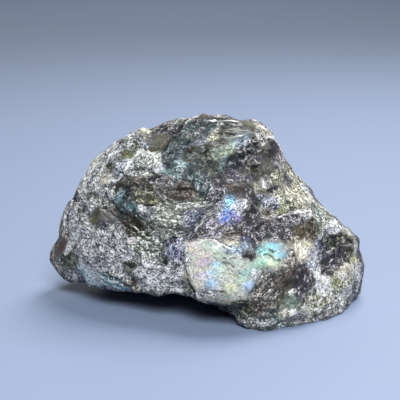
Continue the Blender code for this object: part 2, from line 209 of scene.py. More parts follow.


# The mineral grains of the side that the photograph shows. Each has the pixel of the photograph's frame at
# which its middle is seen; its half length and half width, in millimetres; how its length leans in the
# picture, in degrees up from the right; its look; and, if it is brighter or darker, by how many steps. The
# steps are partly the grain's own tone and partly painted light and shade: lighter on the low left flank,
# which faces down away from the lamps, and darker by the shaded underside at the foot.
GRAINS = {
    # Left shoulder and dome.
    "shoulder yellow": ((91, 165), 4, 1.8, 45, "pale yellow", 0.5),
    "shoulder edge": ((84, 178), 2.5, 1.5, 60, "green grey", 0.9),
    "shoulder speckled": ((93, 183), 4.5, 3, 50, "speckled", 0.8),
    "shoulder dark": ((90, 194), 3, 1, 0, "dark olive", -0.3),
    "shoulder olive": ((96, 199), 2.8, 1.6, -20, "green grey", -0.2),
    "dome left": ((108, 150), 4.6, 2.6, 40, "speckled", 0.65),
    "dome dark olive": ((110, 167), 2, 1.3, -10, "dark olive", 0.4),
    "dome ivory": ((107, 177), 2.4, 1.6, 40, "cream"),
    "dome lilac": ((122, 166), 3.4, 2.4, 20, "pale blue", 0.15),
    "dome olive": ((126, 155), 2, 1.5, 20, "yellow olive", -0.4),
    "second dome olive": ((153, 149), 2, 1.7, 30, "yellow olive", -0.85),
    "small dome olive": ((138, 146), 1.1, 1.1, 0, "olive", -0.4),
    "dome lilac face": ((144, 145), 2, 1.2, -20, "pale blue", -0.5),
    "dome pale green": ((146, 161), 3.6, 3.4, 30, "green grey", 0.75),
    "dome white": ((157, 168), 1.4, 2, 80, "white"),
    "dome pale yellow": ((147, 170), 1.6, 1.8, 70, "pale yellow", 1.4),
    "dome grey": ((120, 145), 4, 2, 40, "speckled"),
    "dome grey green": ((131, 144), 2.8, 2.2, 40, "green grey", 0.3),
    "dome left low": ((104, 190), 3.4, 2, 30, "speckled"),
    "dome middle": ((134, 168), 2.4, 1.8, -10, "speckled", -0.1),
    # Crest.
    "crest cream": ((143, 130), 2.8, 1.3, 10, "cream", 0.1),
    "crest olive": ((152, 127), 1.7, 1.1, 0, "olive", -0.5),
    "crest dark": ((167, 129), 4, 2, 10, "dark speckled", -0.1),
    "crest smooth olive": ((160, 140), 3, 1.7, 20, "smooth olive", -0.2),
    "crest dark teal": ((190, 126), 2.4, 2.6, 50, "dark teal", -0.4),
    "crest speckled": ((204, 124), 3.4, 2.4, 20, "teal", -0.6),
    "crest sheet": ((220, 118), 6, 0.7, -5, "smooth brown", -1.6),
    "crest strata": ((234, 128), 5.6, 1.6, 0, "strata", -1),
    "crest white streak": ((219, 126), 2.3, 0.9, 50, "white", -0.4),
    "crest cream streak": ((213, 137), 1.7, 1.2, 40, "pale yellow", -0.5),
    "crest slivers": ((190, 134), 2.8, 1, 25, "pale grey"),
    "crest yellow olive": ((248, 123), 2, 0.9, -25, "yellow olive", -0.6),
    "cleavage face": ((224, 151), 5.6, 2.4, 35, "smooth green grey"),
    "cleavage dark": ((215, 144), 2.4, 1, 35, "dark olive", -1.1),
    "blue end": ((242, 137), 3.8, 1.3, 28, "smooth blue grey", -0.7),
    "blue white end": ((242, 143), 2.4, 1.3, 40, "pale blue"),
    "right rim": ((263, 128), 3.2, 1.2, -35, "cream", -0.15),
    "right rim grey": ((264, 138), 3, 2.4, -40, "pale grey", -0.35),
    "right rim low": ((277, 146), 2, 1.2, -55, "lilac grey", -1.4),
    # Upper middle.
    "teal flecked": ((186, 142), 3.6, 3, 50, "teal", -0.6),
    "lilac flecks": ((200, 143), 2.4, 1.4, 20, "pale blue", -1.1),
    "dark green left": ((174, 153), 2.8, 2, 20, "dark teal", 0.15),
    "dark green face": ((168, 164), 1.8, 1.1, 10, "dark teal"),
    "cyan flecks": ((180, 168), 2.8, 2.4, 30, "pale cyan", -0.6),
    "cyan face": ((163, 171), 1.1, 1.5, 90, "pale cyan", -1.5),
    "dark olive grain": ((195, 152), 3.4, 2.2, 0, "dark olive", -1.05),
    "dark olive diagonal": ((208, 161), 3.2, 1.7, -35, "dark olive", -0.65),
    "green flecked": ((192, 172), 4.4, 2.4, -20, "dark teal", -0.1),
    "green flecked right": ((210, 173), 2.4, 2.4, 20, "green grey", -0.95),
    "pale green middle": ((205, 187), 2.6, 3.2, 60, "teal", -0.25),
    "dark blue": ((233, 163), 2.8, 1.7, 25, "blue black", -1.2),
    "teal beside it": ((224, 165), 1.5, 1.5, 0, "pale cyan", -1),
    "purple flecks": ((232, 175), 3.8, 2.2, 10, "lilac grey", -0.4),
    "dark between": ((221, 180), 2.6, 1.8, 30, "dark speckled", -0.35),
    "lilac low": ((215, 194), 3, 2, 20, "dark speckled", 0.5),
    "red brown": ((236, 190), 2.4, 2, 0, "red brown", -0.3),
    "black pocket": ((247, 151), 3.4, 2.8, 45, "black", -0.2),
    "black pocket right": ((256, 145), 2, 2, 45, "black", -0.6),
    "lilac by pocket": ((253, 160), 2.8, 1.2, 20, "lilac grey", -0.65),
    "brown right": ((272, 152), 3.2, 2.4, 60, "brown", -1.35),
    "brown right low": ((267, 167), 2, 2, 60, "smooth olive", -0.6),
    "blue speckle": ((277, 161), 2, 1.6, 40, "lilac grey", -0.6),
    "olive brown": ((252, 171), 2.8, 2.5, 60, "dark olive", -0.25),
    "yellow spot": ((249, 170), 0.7, 0.7, 0, "yellow olive", -0.8),
    "pink streak": ((246, 179), 1, 2.2, 85, "lilac grey", -1),
    "dark dots": ((247, 193), 1.4, 2.6, 80, "purple black", -0.2),
    # Right slope.
    "slope top": ((289, 170), 3.4, 2, -35, "pale yellow", 0.2),
    "slope yellow top": ((276, 178), 2.6, 1.6, 20, "pale yellow", -0.4),
    "slope white": ((265, 181), 1.6, 1.1, 0, "white", -0.6),
    "slope dark streak": ((289, 181), 2.8, 1.1, 15, "dark speckled", -0.4),
    "slope dark left": ((276, 188), 2.6, 1, 5, "dark speckled", -0.5),
    "slope yellow": ((293, 195), 5, 3, -30, "pale yellow"),
    "slope left": ((257, 190), 1.4, 2.6, 80, "pale yellow", -1.1),
    "slope pale lilac": ((262, 195), 0.8, 2, 70, "pale blue", -0.5),
    "slope blue white": ((270, 201), 1.4, 1.6, 90, "pale blue", 0.3),
    "slope small dark": ((275, 207), 1, 0.9, 0, "blue black", 0.65),
    "slope olive": ((281, 211), 1.3, 1.4, 0, "yellow olive", 0.4),
    "slope grey spot": ((308, 203), 1.8, 1, -30, "smooth grey", 0.3),
    "edge chip": ((305, 186), 1.8, 1.2, -40, "pale blue", 0.2),
    "edge pale": ((312, 197), 2.4, 1.2, -45, "pale grey", 0.9),
    "slope low left": ((268, 213), 3, 1.2, -10, "brown speckled", 0.5),
    "slope low": ((300, 212), 4.4, 1.4, 0, "pale grey", 0.1),
    "slope far": ((325, 214), 3.4, 2.4, -40, "green grey"),
    "slope far low": ((336, 226), 3.4, 2.4, -40, "pale grey", 0.9),
    "slope brown stripe": ((329, 214), 1.6, 0.6, -50, "smooth brown", 0.4),
    # Right side: ochre, cream and the dark hollow.
    "dark speckled right": ((276, 228), 4.6, 3.4, 10, "dark speckled", -0.2),
    "speckled top right": ((292, 221), 3.4, 1.8, 0, "dark speckled"),
    "ochre": ((304, 232), 3.8, 2.6, 10, "ochre", -0.45),
    "dark by ochre": ((316, 230), 1.4, 3.6, 80, "dark olive"),
    "cream block": ((304, 248), 2.4, 2.8, 80, "cream", 0.1),
    "pale blue band": ((316, 256), 4.4, 1.8, 60, "pale blue", 0.1),
    "grey by band": ((324, 233), 2, 2.2, 60, "green grey", 0.3),
    "hollow roof": ((334, 242), 3.6, 1.7, 15, "dark olive", -0.2),
    "hollow olive roof": ((342, 238), 2.4, 1.1, -15, "olive", 0.3),
    "hollow left": ((326, 249), 1.8, 2, 50, "blue black"),
    "hollow middle": ((339, 253), 3.8, 3, 30, "purple black", -0.1),
    "hollow low": ((330, 263), 4, 1.8, 30, "dark speckled", -0.1),
    "hollow right": ((349, 252), 1.1, 2.6, 110, "dark olive", 0.3),
    "hollow yellow": ((355, 259), 1, 1.2, 90, "yellow olive", 1.6),
    "right rim cream": ((356, 247), 1.6, 2.6, 100, "cream", 0.4),
    "right rim top": ((351, 234), 2, 1.2, -45, "cream"),
    "right edge low": ((359, 275), 1.8, 3.4, 75, "pale grey", 0.7),
    "below hollow": ((345, 272), 3.4, 1.8, 35, "cream", 0.2),
    "below hollow dark": ((334, 270), 1.6, 1.2, 40, "brown speckled"),
    "yellow green patch": ((336, 283), 1, 1.4, 70, "yellow olive", 0.1),
    "right low smooth": ((348, 292), 3.2, 1.8, 30, "green grey", 1.15),
    "right low streaks": ((347, 281), 3.2, 1.8, 35, "pale yellow", 0.4),
    "white chip": ((317, 274), 1.1, 1.6, 110, "white", 0.4),
    "white block": ((323, 289), 2.4, 2.2, 45, "white", 0.2),
    # Lower right.
    "brown by turquoise": ((291, 259), 1.8, 2.6, 80, "brown speckled"),
    "purple patch": ((304, 283), 4.4, 2.4, 65, "purple black", -0.15),
    "brown patch": ((284, 280), 3.4, 3, 45, "brown"),
    "brown speckled patch": ((267, 290), 4.4, 4, 40, "brown speckled"),
    "brown low": ((263, 306), 4, 2.2, 20, "brown speckled", -0.4),
    # Stepped darker beside the shaded underside: painted shade.
    "foot dark": ((244, 308), 3, 2.2, -20, "dark olive", -0.2),
    "foot white slivers": ((263, 312), 2.6, 0.8, 10, "pale grey", -0.3),
    "foot band": ((265, 323), 6, 1.2, 0, "pale grey"),
    "foot band right": ((300, 318), 4, 1, 12, "pale grey", -0.25),
    "brown sliver": ((281, 301), 3.4, 0.9, 80, "olive"),
    "cream wedge": ((284, 313), 2.2, 1.4, 60, "cream", 0.5),
    "grey green block": ((290, 304), 2.2, 2.4, 60, "smooth green grey", -0.3),
    "pale green chip": ((293, 293), 2, 1.2, 20, "green grey", 0.4),
    "low white": ((294, 312), 1.4, 0.8, 20, "white", 1),
    "low cream": ((320, 303), 5, 2.6, 20, "pale yellow", 0.4),
    "low right": ((343, 302), 3.4, 1.6, 35, "pale grey", 1.15),
    "grey above white": ((313, 290), 1.6, 1.8, 40, "green grey"),
    # Middle: blue flash, dark diagonal and what lies between them.
    "flash crystal": ((229, 209), 2.8, 2.6, 60, "pale blue"),
    "pale by flash": ((240, 207), 2.4, 2.2, 60, "pale grey", -0.3),
    "white by flash": ((217, 216), 1.4, 1.8, 90, "pale grey", -0.4),
    "lilac below flash": ((215, 231), 3.2, 3, 40, "lilac grey", 0.3),
    "dark by flash": ((251, 219), 3.6, 3.4, 45, "dark speckled", -0.35),
    "brown between": ((229, 236), 2.8, 2, 20, "brown speckled", 0.1),
    "small cream": ((234, 243), 1.6, 1, -30, "cream"),
    "blue by pit": ((246, 245), 1.1, 1.8, 80, "pale blue", -0.5),
    "grey by pit": ((235, 251), 2.8, 1.2, -10, "smooth blue grey", 0.5),
    "pit": ((248, 256), 1.8, 1.6, 45, "black", -0.4),
    "right of pit": ((257, 250), 1.2, 2.6, 90, "lilac grey", -0.9),
    "above pit": ((256, 237), 3, 1.8, 10, "dark speckled"),
    "dark diagonal": ((196, 217), 3.8, 2.4, 35, "blue black", 0.3),
    "dark diagonal low": ((195, 235), 2.6, 1.8, 40, "purple black"),
    "black spot": ((203, 232), 0.9, 1.2, 80, "black", -1),
    "light sliver": ((205, 219), 3, 0.5, 50, "pale grey", -0.7),
    "blue patch": ((174, 252), 3.6, 2.8, 70, "blue black", 0.45),
    "blue patch white": ((183, 248), 1.4, 2, 70, "pale blue", 0.5),
    "black by blue": ((164, 260), 1.2, 1.2, 0, "black", -1.1),
    # Slab.
    "slab corner": ((191, 244), 2.6, 1.2, 10, "white"),
    "slab top": ((211, 246), 4.2, 1.8, -12, "slab"),
    "slab cream top": ((200, 254), 3.2, 1.3, 0, "slab cream", 0.5),
    "slab left": ((196, 278), 2.6, 4.6, 100, "slab cream", 0.35),
    "slab left edge": ((184, 263), 2, 2, 60, "speckled", 1.2),
    "slab upper right": ((237, 261), 4.6, 1.5, -12, "slab", 0.6),
    "slab middle": ((224, 274), 6, 4.4, -18, "slab", -0.1),
    "slab right": ((248, 281), 1.8, 4.2, 80, "slab", -0.3),
    "slab lip": ((226, 297), 7, 1, 0, "slab", -0.4),
    "slab foot": ((203, 295), 3.4, 1, 0, "speckled", 0.3),
    "right of slab": ((258, 274), 2, 2.2, 60, "pale grey", 0.9),
    "turquoise grain": ((273, 255), 4.4, 3.8, 30, "slab", -0.4),
    "slab bridge": ((257, 266), 2, 1.2, 0, "slab"),
    # Shelf and brown hollow.
    "dark pocket": ((152, 178), 2.6, 1.1, 0, "dark speckled", -0.25),
    "dark sliver": ((127, 179), 2.4, 1, -50, "dark olive", 0.4),
    "dark brown": ((138, 183), 2.6, 2.2, -20, "brown"),
    "olive brown band": ((149, 194), 3.8, 2.2, -5, "olive"),
    "white slivers": ((162, 195), 2.6, 1, -45, "pale grey", -0.8),
    "pale slivers": ((168, 183), 2.6, 1.2, -20, "pale grey", -0.2),
    "hollow brown": ((182, 192), 4.4, 2.2, 0, "brown", 0.2),
    "dark brown left": ((117, 186), 2.2, 1.3, 10, "brown", 0.1),
    "small blue": ((118, 196), 1.1, 1.2, 0, "pale cyan", -0.8),
    "dark blue face": ((127, 196), 1.8, 1.2, 20, "blue black", -0.6),
    "teal band": ((128, 205), 3.8, 1.8, -40, "teal", -0.4),
    "white shelf block": ((142, 207), 1.8, 0.9, 0, "white", -0.3),
    "blue grey shelf": ((149, 211), 2.4, 1.4, -20, "pale blue", -0.8),
    "shelf": ((166, 213), 4.4, 2, 0, "streaked", -0.1),
    "shelf green": ((178, 209), 3, 1.2, 5, "green grey", -0.7),
    "shelf right": ((190, 204), 5, 1.4, 5, "streaked", 0.15),
    "shelf low": ((168, 227), 5, 2.2, 0, "streaked", -0.1),
    "shelf end": ((160, 236), 3, 1.8, -10, "green grey", 0.5),
    # Left side.
    "left edge": ((70, 215), 3, 5, 80, "speckled", 0.6),
    "left upper": ((83, 207), 3.4, 2.4, -20, "speckled", 0.3),
    "grey face": ((107, 215), 2.6, 1.4, -25, "smooth grey", 0.1),
    "dark grey face": ((96, 219), 1.8, 2, 60, "smooth olive", 0.15),
    "low grey face": ((106, 223), 2, 1.4, -20, "lilac grey", -0.9),
    "bright patch": ((87, 229), 2.4, 1.4, -40, "pale grey", 0.2),
    "left speckled": ((84, 240), 5, 3.4, -35, "speckled", 0.6),
    "middle speckled": ((108, 246), 5, 4, -40, "speckled", 0.45),
    "white dot": ((112, 227), 0.8, 0.8, 0, "white", -0.4),
    "second white dot": ((131, 241), 0.9, 1.1, 90, "white"),
    "crevice brown": ((128, 230), 2.6, 1.4, -40, "brown speckled", -0.65),
    "olive by crevice": ((134, 217), 2.6, 1.1, -38, "olive", -0.4),
    "pale green zone": ((146, 248), 4, 2.6, -10, "green grey", 0.1),
    # The low left flank faces down, away from the lamps: its grains are stepped lighter, partly as painted
    # light.
    "tip brown": ((60, 248), 3.2, 1.1, 50, "smooth brown"),
    "tip top": ((66, 235), 2.2, 1.2, 20, "brown speckled", 0.4),
    "tip white": ((66, 250), 1.7, 1.1, 40, "pale grey", 1.6),
    "tip low": ((67, 264), 4.2, 2.6, 10, "dark olive", 0.6),
    "tip edge": ((57, 262), 1.6, 1.6, -45, "brown speckled", 0.4),
    "cyan flash grain": ((89, 277), 4.4, 2.8, -14, "pale cyan", 1.6),
    "teal flash grain": ((115, 285), 4.4, 1.6, -20, "teal", 1),
    "teal by flash": ((84, 273), 1.8, 1.8, 45, "dark teal", 1.1),
    "pale block": ((117, 267), 2.4, 1.9, 30, "pale grey", 0.3),
    "dark green low": ((131, 268), 3, 1.4, 0, "dark olive", 0.35),
    "low left speckled": ((95, 262), 4, 2.4, 10, "speckled", 0.25),
    "below crevice": ((118, 234), 3.4, 1.6, -40, "speckled", 0.2),
    "low middle": ((148, 274), 4.4, 3.4, 10, "speckled", 0.75),
    "low middle right": ((170, 274), 3.6, 3, 20, "speckled", 0.4),
    "low rim": ((158, 288), 5, 1.2, 0, "green grey", 0.8),
    "low rim right": ((177, 291), 2.6, 1.2, 0, "pale grey", 1.4),
}

# The cracks and bright broken edges of that side. Each has half its width and its depth, in millimetres,
# where a negative depth stands out; its shade, from -1, black, to 1, white; and the pixels along it.
# A crack's black is painted shade in it, and an edge's white is partly pale stone and partly a painted
# highlight.
LINES = {
    "crest groove": (0.8, 0.5, -0.9, (185, 119), (178, 131), (171, 140), (164, 149)),
    "crevice": (0.9, 0.6, -0.9, (103, 207), (112, 212), (120, 218), (127, 223), (135, 230), (147, 239)),
    "second crevice": (0.7, 0.3, -0.7, (114, 209), (122, 216), (130, 222), (139, 227), (149, 236)),
    "crevice edge": (0.55, -0.2, 0.45, (110, 208), (119, 213), (126, 219), (134, 226), (146, 236)),
    "short crevice": (0.8, 0.4, -0.8, (146, 222), (150, 227), (156, 229)),
    "slot by olive": (0.7, 0.4, -0.9, (133, 212), (138, 215), (142, 219)),
    "left ledge": (0.8, 0.5, -0.9, (105, 273), (112, 278), (120, 282), (127, 286), (133, 286)),
    "dome crack": (0.7, 0.4, -0.8, (135, 167), (143, 169), (150, 171), (158, 176), (166, 181)),
    "dome lower edge": (0.8, 0.4, -0.8, (120, 173), (126, 176), (131, 183), (138, 186)),
    "dome bright edge": (
        0.6, -0.2, 0.8, (108, 182), (118, 180), (124, 172), (131, 161), (137, 154), (143, 150),
    ),
    "second bright edge": (0.55, -0.2, 0.7, (98, 176), (104, 165), (109, 156), (116, 152), (124, 150)),
    "olive bright edge": (0.6, -0.2, 0.8, (133, 158), (141, 151), (147, 151), (154, 157), (160, 152)),
    "band shadow": (0.7, 0.4, -0.8, (136, 202), (145, 204), (153, 205)),
    "shelf bright line": (0.6, -0.2, 0.5, (176, 208), (187, 207), (200, 206), (212, 205)),
    "second shelf line": (0.5, -0.15, 0.6, (150, 216), (165, 219), (180, 221), (188, 219)),
    "third shelf line": (0.6, 0.3, -0.6, (150, 224), (160, 227), (172, 230), (182, 228)),
    "strata dark": (0.6, 0.3, -0.8, (222, 128), (232, 126), (245, 125)),
    "strata dark low": (0.6, 0.3, -0.8, (217, 132), (226, 133), (234, 134)),
    "strata bright": (0.5, -0.2, 0.5, (205, 120), (222, 121), (240, 121)),
    "strata bright low": (0.5, -0.2, 0.5, (222, 137), (235, 137), (246, 134)),
    "crest left rim": (0.6, -0.2, 0.8, (183, 127), (188, 120), (196, 116)),
    "shoulder rim": (0.6, 0, 0.9, (257, 124), (268, 130), (276, 139), (281, 147), (285, 157)),
    "pocket web right": (0.5, -0.1, 0.5, (252, 148), (258, 152), (262, 149)),
    "pocket web top": (0.5, -0.1, 0.5, (243, 143), (248, 139), (256, 142), (262, 139)),
    "pocket web foot": (0.5, -0.1, 0.5, (240, 160), (247, 162), (254, 159), (260, 163)),
    "slope dark line": (0.6, 0.3, -0.7, (288, 207), (300, 208), (310, 208)),
    "slope bright line": (
        0.7, -0.25, 0.55, (272, 216), (282, 216), (291, 213), (302, 212), (313, 216), (319, 221),
    ),
    "pocket web": (0.5, -0.1, 0.5, (240, 152), (247, 146), (252, 140)),
    "pocket web low": (0.5, -0.1, 0.5, (244, 148), (246, 153), (250, 157)),
    "slab crack": (0.7, 0.6, -1, (184, 266), (187, 278), (190, 288), (194, 292)),
    "slab fine crack": (0.5, 0.2, -0.7, (217, 260), (225, 262), (236, 268), (245, 266)),
    "slab top crack": (0.45, 0.12, -0.55, (222, 247), (231, 252), (240, 257)),
    "slab low crack": (0.45, 0.12, -0.5, (229, 264), (237, 270), (243, 276)),
    "slab left crack": (0.45, 0.12, -0.5, (209, 256), (217, 258), (226, 265), (232, 272)),
    "slab foot crack": (0.45, 0.12, -0.5, (206, 289), (215, 292), (224, 290)),
    "slab upper crack": (0.5, 0.25, -0.9, (224, 258), (233, 259), (242, 259)),
    "slab middle crack": (0.45, 0.15, -0.4, (222, 272), (230, 274), (236, 278)),
    "slab upper edge": (0.6, -0.2, 0.8, (196, 243), (206, 240), (218, 242), (226, 247), (232, 250)),
    "slab under edge": (0.6, 0.3, -0.6, (219, 241), (225, 245), (230, 247)),
    "slab pit": (0.7, 0.5, -1, (221, 292), (224, 293)),
    "turquoise crack": (0.55, 0.3, -0.7, (263, 255), (268, 254), (272, 256), (276, 260), (281, 260)),
    "turquoise upper crack": (0.5, 0.2, -0.6, (269, 249), (273, 252), (277, 251), (279, 254)),
    "black by speckle": (0.7, 0.4, -0.9, (258, 230), (261, 224), (266, 223)),
    "diagonal edge": (0.55, -0.2, 0.4, (188, 239), (197, 228), (205, 218), (211, 210)),
    "blue patch edge": (0.8, 0.4, -0.8, (162, 243), (169, 239), (177, 237)),
    "hollow edge": (0.9, 0.5, -0.4, (321, 256), (324, 246), (331, 239), (343, 236), (351, 243)),
    "hollow streak": (0.6, -0.1, 0.5, (328, 252), (333, 249), (336, 248)),
    "tip underside": (0.8, 0.2, -0.6, (52, 268), (62, 277), (72, 284)),
}

# The spots of labradorescence, a sheen that is painted into the colour. Each has the pixel at which its
# middle is seen; its half length and half width, in millimetres; its lean; its sRGB colour; and its strength.
PAINTED_SHEEN_SPOTS = [
    # Blue crystal.
    ((230, 202), 2, 1.7, 70, (140, 208, 248), 1),
    ((227, 207), 1.6, 1.4, 70, (96, 150, 226), 0.9),
    ((238, 206), 2, 1.6, 40, (200, 212, 230), 0.7),
    ((230, 212), 2, 1.2, 0, (92, 122, 200), 0.9),
    ((223, 213), 1.4, 1.4, 0, (96, 114, 186), 0.8),
    ((226, 218), 2.4, 1.3, 0, (100, 126, 220), 1),
    ((236, 216), 1.7, 1.6, 60, (168, 150, 210), 0.85),
    # Slab.
    ((204, 262), 2.4, 1.4, 10, (214, 192, 216), 0.85),
    ((217, 265), 1.9, 1.1, 0, (160, 210, 234), 0.95),
    ((212, 273), 1.2, 2.8, 100, (122, 182, 226), 1),
    ((211, 283), 1.5, 2.2, 90, (150, 194, 240), 1),
    ((205, 275), 1.1, 3.6, 95, (218, 196, 228), 0.9),
    ((218, 272), 1.2, 2.6, 105, (186, 216, 172), 0.8),
    ((217, 286), 1.4, 1.4, 0, (206, 210, 232), 0.7),
    ((221, 255), 2.8, 1.6, -20, (190, 214, 186), 0.7),
    ((210, 246), 3.2, 1.3, -10, (196, 216, 206), 0.6),
    ((192, 250), 2, 1.1, 0, (196, 182, 140), 0.6),
    ((231, 287), 3, 1.6, 0, (208, 214, 168), 0.75),
    ((234, 262), 3.4, 1.4, -15, (206, 220, 206), 0.6),
    ((246, 273), 1.6, 2.2, 90, (158, 208, 200), 0.85),
    ((248, 285), 1.8, 2.6, 90, (176, 200, 242), 0.95),
    ((240, 280), 1.1, 2.6, 100, (196, 220, 190), 0.7),
    # Turquoise grain.
    ((256, 266), 2.8, 1.2, 10, (150, 204, 180), 0.85),
    ((263, 262), 1.6, 1.8, 60, (136, 220, 196), 0.95),
    ((264, 252), 1.8, 2, 70, (150, 222, 216), 0.95),
    ((273, 247), 3, 1.3, 0, (116, 192, 218), 0.95),
    ((277, 254), 1.7, 1.9, 60, (176, 234, 232), 0.95),
    ((281, 255), 1.1, 2.4, 105, (116, 186, 220), 0.95),
    ((270, 262), 2.8, 1.6, 10, (210, 226, 186), 0.9),
    # By the pit.
    ((246, 246), 1, 1.6, 80, (160, 186, 220), 0.6),
    ((247, 240), 1.2, 1, 0, (84, 100, 146), 0.6),
    # Cyan and teal at the low left.
    ((90, 279), 4.2, 2.6, -14, (196, 236, 244), 1),
    ((82, 275), 1.4, 1.8, 60, (130, 168, 180), 0.7),
    ((106, 283), 2.4, 1.4, -15, (88, 128, 136), 0.7),
    ((117, 288), 2.8, 1, -12, (150, 186, 204), 0.6),
    ((125, 288), 1.8, 0.8, -12, (76, 116, 140), 0.7),
    # Faint ones.
    ((119, 197), 0.9, 0.9, 0, (120, 168, 196), 0.8),
    ((128, 205), 3, 1.2, -42, (88, 122, 128), 0.5),
    ((134, 206), 2, 0.8, -42, (110, 140, 150), 0.5),
    ((174, 252), 2.4, 2, 60, (98, 108, 138), 0.4),
    ((162, 171), 0.9, 1.3, 80, (140, 178, 182), 0.5),
    ((241, 140), 3, 0.7, 28, (120, 146, 168), 0.5),
    ((195, 218), 2.6, 1.6, 35, (70, 88, 104), 0.4),
]

# Grains of the sides that the photograph doesn't show: how common each look is there.
COMMON_LOOKS = {
    "speckled": 9, "dark speckled": 5, "brown speckled": 5, "green grey": 3, "teal": 1, "pale yellow": 1,
    "pale grey": 2, "lilac grey": 3, "dark olive": 1, "streaked": 2, "pale blue": 1, "smooth grey": 1,
}
HIDDEN_GRAIN_SIZE = (2, 6.5)  # millimetres
HIDDEN_GRAIN_SPACING = 5.2 * MM
SEEN_GRAIN_ROOM = 8 * MM  # from a seen grain to a random one on a side that faces the camera
HIDDEN_SEED = 7
WANDER_SEED = 11  # of the noise that makes borders wander
BORDER_SHARPNESS = 5  # of the change from one grain's look to the next
NEIGHBOURS = 20  # how many of the nearest grains may claim a place


def add_object(name, data):
    thing = bpy.data.objects.new(name, data)
    bpy.context.scene.collection.objects.link(thing)
    return thing


def add_camera():
    data = bpy.data.cameras.new("photo_view")
    data.lens = LENS_MM
    data.sensor_width = SENSOR_MM
    data.clip_start = 10 * MM
    camera = add_object("photo_view", data)
    turn = Matrix((RIGHT, UP, -FORWARD)).transposed().to_4x4()
    camera.matrix_world = Matrix.Translation(CAMERA_PLACE) @ turn
    bpy.context.scene.camera = camera


def place_seen_at(pixel, surface):
    """The point of the surface that the photograph shows at a pixel."""
    across = (pixel[0] - PHOTO_SIDE / 2) / FOCAL_PIXELS
    down = (pixel[1] - PHOTO_SIDE / 2) / FOCAL_PIXELS
    ray = FORWARD + RIGHT * across - UP * down
    place = surface.ray_cast(CAMERA_PLACE, ray)[0]
    if place is None:
        place = surface.find_nearest(CAMERA_PLACE + ray * CAMERA_DISTANCE)[0]
    return np.array(place)


def apply_modifiers(stone):
    graph = bpy.context.evaluated_depsgraph_get()
    stone.data = bpy.data.meshes.new_from_object(stone.evaluated_get(graph))
    stone.modifiers.clear()


def fine_stone(node):
    """A fine, even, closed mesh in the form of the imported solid."""
    mesh = bmesh.new()
    mesh.from_mesh(node.data)
    bmesh.ops.remove_doubles(mesh, verts=mesh.verts, dist=SAME_CORNER)
    data = bpy.data.meshes.new("stone")
    mesh.to_mesh(data)
    mesh.free()
    stone = add_object("stone", data)
    remesh = stone.modifiers.new("fine_mesh", "REMESH")
    remesh.mode = "VOXEL"
    remesh.voxel_size = MESH_STEP
    apply_modifiers(stone)
    soften(stone.data)
    return stone


def read_vectors(collection, key):
    values = np.empty(len(collection) * 3, np.float32)
    collection.foreach_get(key, values)
    return values.reshape(-1, 3).astype(float)


def smooth_step(low, high, values):
    share = np.clip((values - low) / (high - low), 0, 1)
    return share * share * (3 - 2 * share)


def soften(mesh):
    """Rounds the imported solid's facets off, most of all at the smooth low rims on the left and right."""
    places = read_vectors(mesh.vertices, "co")
    edges = np.empty(len(mesh.edges) * 2, np.int32)
    mesh.edges.foreach_get("vertices", edges)
    start, end = edges.reshape(-1, 2).T
    neighbours = np.bincount(edges, minlength=len(places))
    low = 1 - smooth_step(*SMOOTH_RIM_TOP, places[:, 2])
    left, right = smooth_step(*SMOOTH_RIM_LEFT, -places[:, 0]), smooth_step(*SMOOTH_RIM_RIGHT, places[:, 0])
    share = 0.5 * (LEAST_SMOOTHING + (1 - LEAST_SMOOTHING) * low * np.maximum(left, right))
    for _ in range(SMOOTHING_PASSES):
        for values in places.T:
            total = np.bincount(start, values[end], len(values))
            total += np.bincount(end, values[start], len(values))
            values += (total / neighbours - values) * share
    mesh.vertices.foreach_set("co", places.astype(np.float32).ravel())
    mesh.update()


def wander(places, length, reach):
    """How far noise moves each place."""
    size = length * MM
    return np.array([noise.noise_vector(Vector(place) / size) for place in places]) * reach * MM


